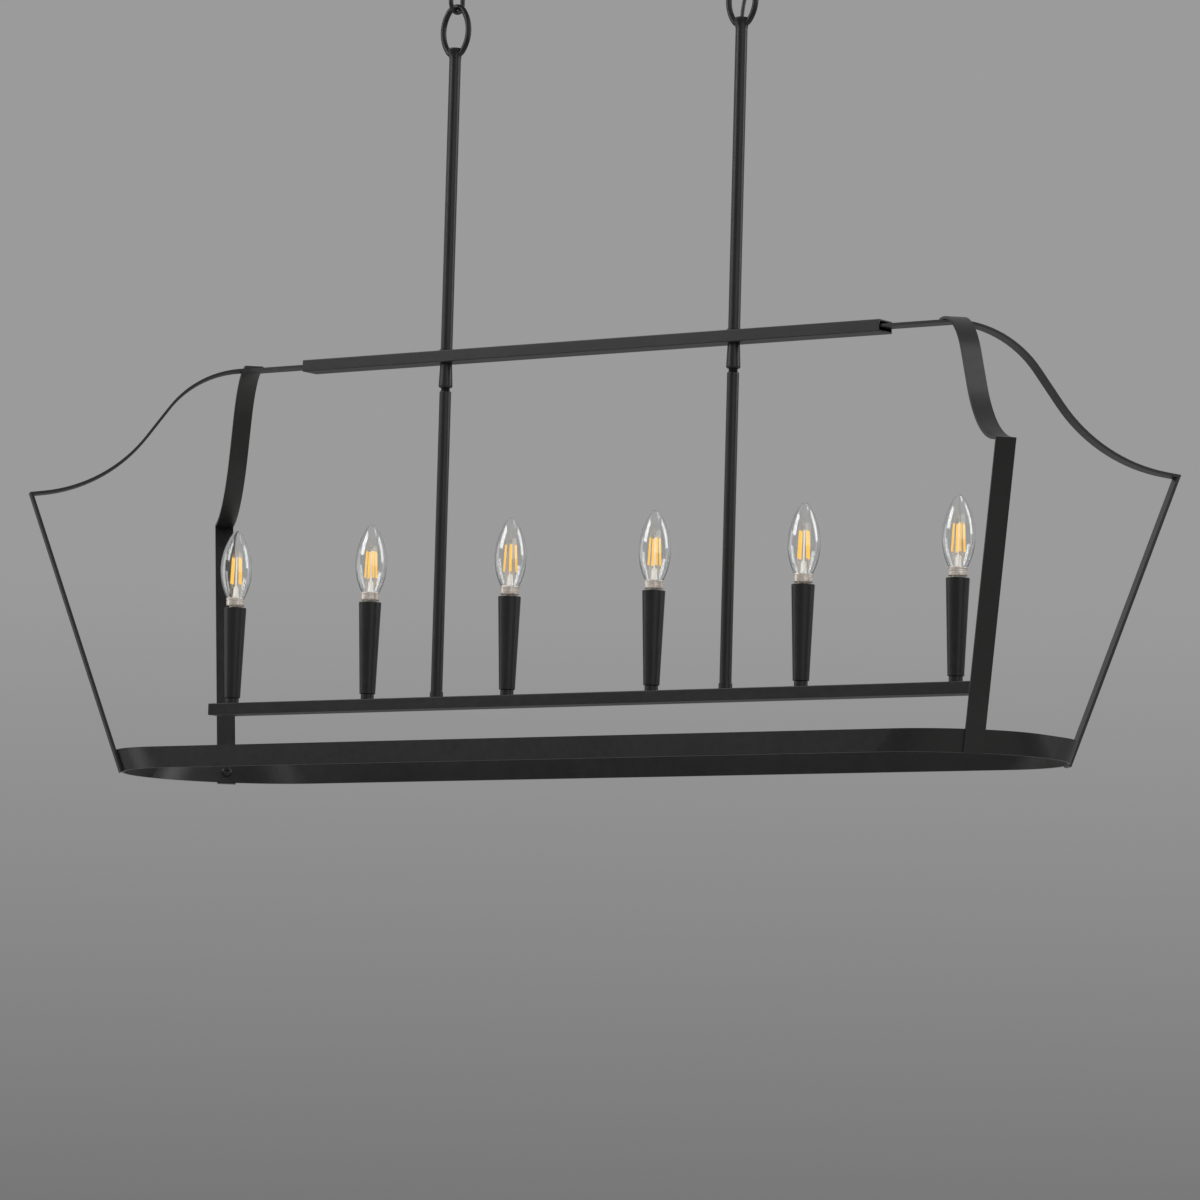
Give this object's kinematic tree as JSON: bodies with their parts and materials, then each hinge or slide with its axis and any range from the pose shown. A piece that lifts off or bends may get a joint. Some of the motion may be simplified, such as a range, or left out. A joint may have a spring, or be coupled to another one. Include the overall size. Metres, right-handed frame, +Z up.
{
  "type": "linear island pendant",
  "caption": "Long open-cage pendant lamp: flat strip arms curve down from a rail to a slim oval band, around candle lamps on a straight bar, hung on chains and stems.",
  "frame": {"origin": "middle of the ceiling face of the mounting bar, midway between its two box screw holes", "axes": "+Z up, away from the hanging pendant; X along the bars, with the chain that carries the lead at +X; -Y is the front"},
  "size_m": [1.2642, 0.3576, 1.0071],
  "materials": {
    "black_metal": "satin",
    "plated_steel": "satin",
    "bulb_glass": "clear polished",
    "bulb_cap": "satin",
    "filament": "glowing amber phosphor",
    "socket_plastic": "matte",
    "wire_jacket": "semi-gloss"
  },
  "bodies": {
    "ceiling_mount": {"mounting_bar": "plated_steel", "canopy_nipples": "plated_steel", "canopy_nuts": "plated_steel", "canopy": "black_metal", "ceiling_loop_left": "black_metal", "ceiling_loop_right": "black_metal", "lead": "wire_jacket"},
    "left_link_1": {"left_link_1": "black_metal"},
    "left_link_2": {"left_link_2": "black_metal"},
    "left_link_3": {"left_link_3": "black_metal"},
    "right_link_1": {"right_link_1": "black_metal"},
    "right_link_2": {"right_link_2": "black_metal"},
    "right_link_3": {"right_link_3": "black_metal"},
    "pendant": {"stem_loop_left": "black_metal", "stem_loop_right": "black_metal", "upper_stem_left": "black_metal", "upper_stem_right": "black_metal", "turned_collars": "black_metal", "threaded_nipples": "plated_steel", "lock_nuts": "plated_steel", "top_bar": "black_metal", "rail_strip": "black_metal", "coupling_left": "black_metal", "coupling_right": "black_metal", "lower_stem_left": "black_metal", "lower_stem_right": "black_metal", "bulb_bar": "black_metal", "bar_end_caps": "black_metal", "arm_left_front": "black_metal", "arm_left_back": "black_metal", "arm_right_front": "black_metal", "arm_right_back": "black_metal", "base_ring": "black_metal", "foot_screws": "black_metal", "lamp_sockets": "socket_plastic", "inner_wiring": "wire_jacket", "candle_sleeve_1": "black_metal", "candle_sleeve_2": "black_metal", "candle_sleeve_3": "black_metal", "candle_sleeve_4": "black_metal", "candle_sleeve_5": "black_metal", "candle_sleeve_6": "black_metal"},
    "bulb_1": {"bulb_1_glass": "bulb_glass", "bulb_1_cap": "bulb_cap", "bulb_1_filaments": "filament"},
    "bulb_2": {"bulb_2_glass": "bulb_glass", "bulb_2_cap": "bulb_cap", "bulb_2_filaments": "filament"},
    "bulb_3": {"bulb_3_glass": "bulb_glass", "bulb_3_cap": "bulb_cap", "bulb_3_filaments": "filament"},
    "bulb_4": {"bulb_4_glass": "bulb_glass", "bulb_4_cap": "bulb_cap", "bulb_4_filaments": "filament"},
    "bulb_5": {"bulb_5_glass": "bulb_glass", "bulb_5_cap": "bulb_cap", "bulb_5_filaments": "filament"},
    "bulb_6": {"bulb_6_glass": "bulb_glass", "bulb_6_cap": "bulb_cap", "bulb_6_filaments": "filament"}
  },
  "joints": [
    {"name": "chain_swing", "type": "hinge", "parent": "ceiling_mount", "child": "left_link_1", "pos_m": [-0.187, 0, -0.08185], "axis": [1, 0, 0], "range_deg": [-15, 15], "deforming": ["lead"]},
    {"name": "chain_sway", "type": "hinge", "parent": "left_link_1", "child": "left_link_2", "pos_m": [-0.187, 0, -0.1129], "axis": [0, 1, 0], "range_deg": [-20, 20], "deforming": ["lead"]},
    {"name": "left_link_3_level", "type": "hinge", "parent": "left_link_2", "child": "left_link_3", "pos_m": [-0.187, 0, -0.1393], "axis": [0, 1, 0], "range_deg": [-22, 22]},
    {"name": "pendant_nod", "type": "hinge", "parent": "left_link_3", "child": "pendant", "pos_m": [-0.187, 0, -0.17035], "axis": [1, 0, 0], "range_deg": [-15, 15], "deforming": ["lead"]},
    {"name": "right_link_1_swing", "type": "hinge", "parent": "ceiling_mount", "child": "right_link_1", "pos_m": [0.187, 0, -0.08185], "axis": [1, 0, 0], "range_deg": [-15, 15]},
    {"name": "right_link_2_sway", "type": "hinge", "parent": "right_link_1", "child": "right_link_2", "pos_m": [0.187, 0, -0.1129], "axis": [0, 1, 0], "range_deg": [-20, 20]},
    {"name": "right_link_3_level", "type": "hinge", "parent": "right_link_2", "child": "right_link_3", "pos_m": [0.187, 0, -0.1393], "axis": [0, 1, 0], "range_deg": [-22, 22]},
    {"name": "bulb_1_unscrew", "type": "slide", "parent": "pendant", "child": "bulb_1", "axis": [0, 0, 1], "range_m": [0, 0.035]},
    {"name": "bulb_2_unscrew", "type": "slide", "parent": "pendant", "child": "bulb_2", "axis": [0, 0, 1], "range_m": [0, 0.035]},
    {"name": "bulb_3_unscrew", "type": "slide", "parent": "pendant", "child": "bulb_3", "axis": [0, 0, 1], "range_m": [0, 0.035]},
    {"name": "bulb_4_unscrew", "type": "slide", "parent": "pendant", "child": "bulb_4", "axis": [0, 0, 1], "range_m": [0, 0.035]},
    {"name": "bulb_5_unscrew", "type": "slide", "parent": "pendant", "child": "bulb_5", "axis": [0, 0, 1], "range_m": [0, 0.035]},
    {"name": "bulb_6_unscrew", "type": "slide", "parent": "pendant", "child": "bulb_6", "axis": [0, 0, 1], "range_m": [0, 0.035]}
  ],
  "couplings": [
    {"joint": "left_link_3_level", "follows": "chain_sway", "ratio": -1},
    {"joint": "right_link_1_swing", "follows": "chain_swing", "ratio": 1},
    {"joint": "right_link_2_sway", "follows": "chain_sway", "ratio": 1},
    {"joint": "right_link_3_level", "follows": "chain_sway", "ratio": -1}
  ]
}
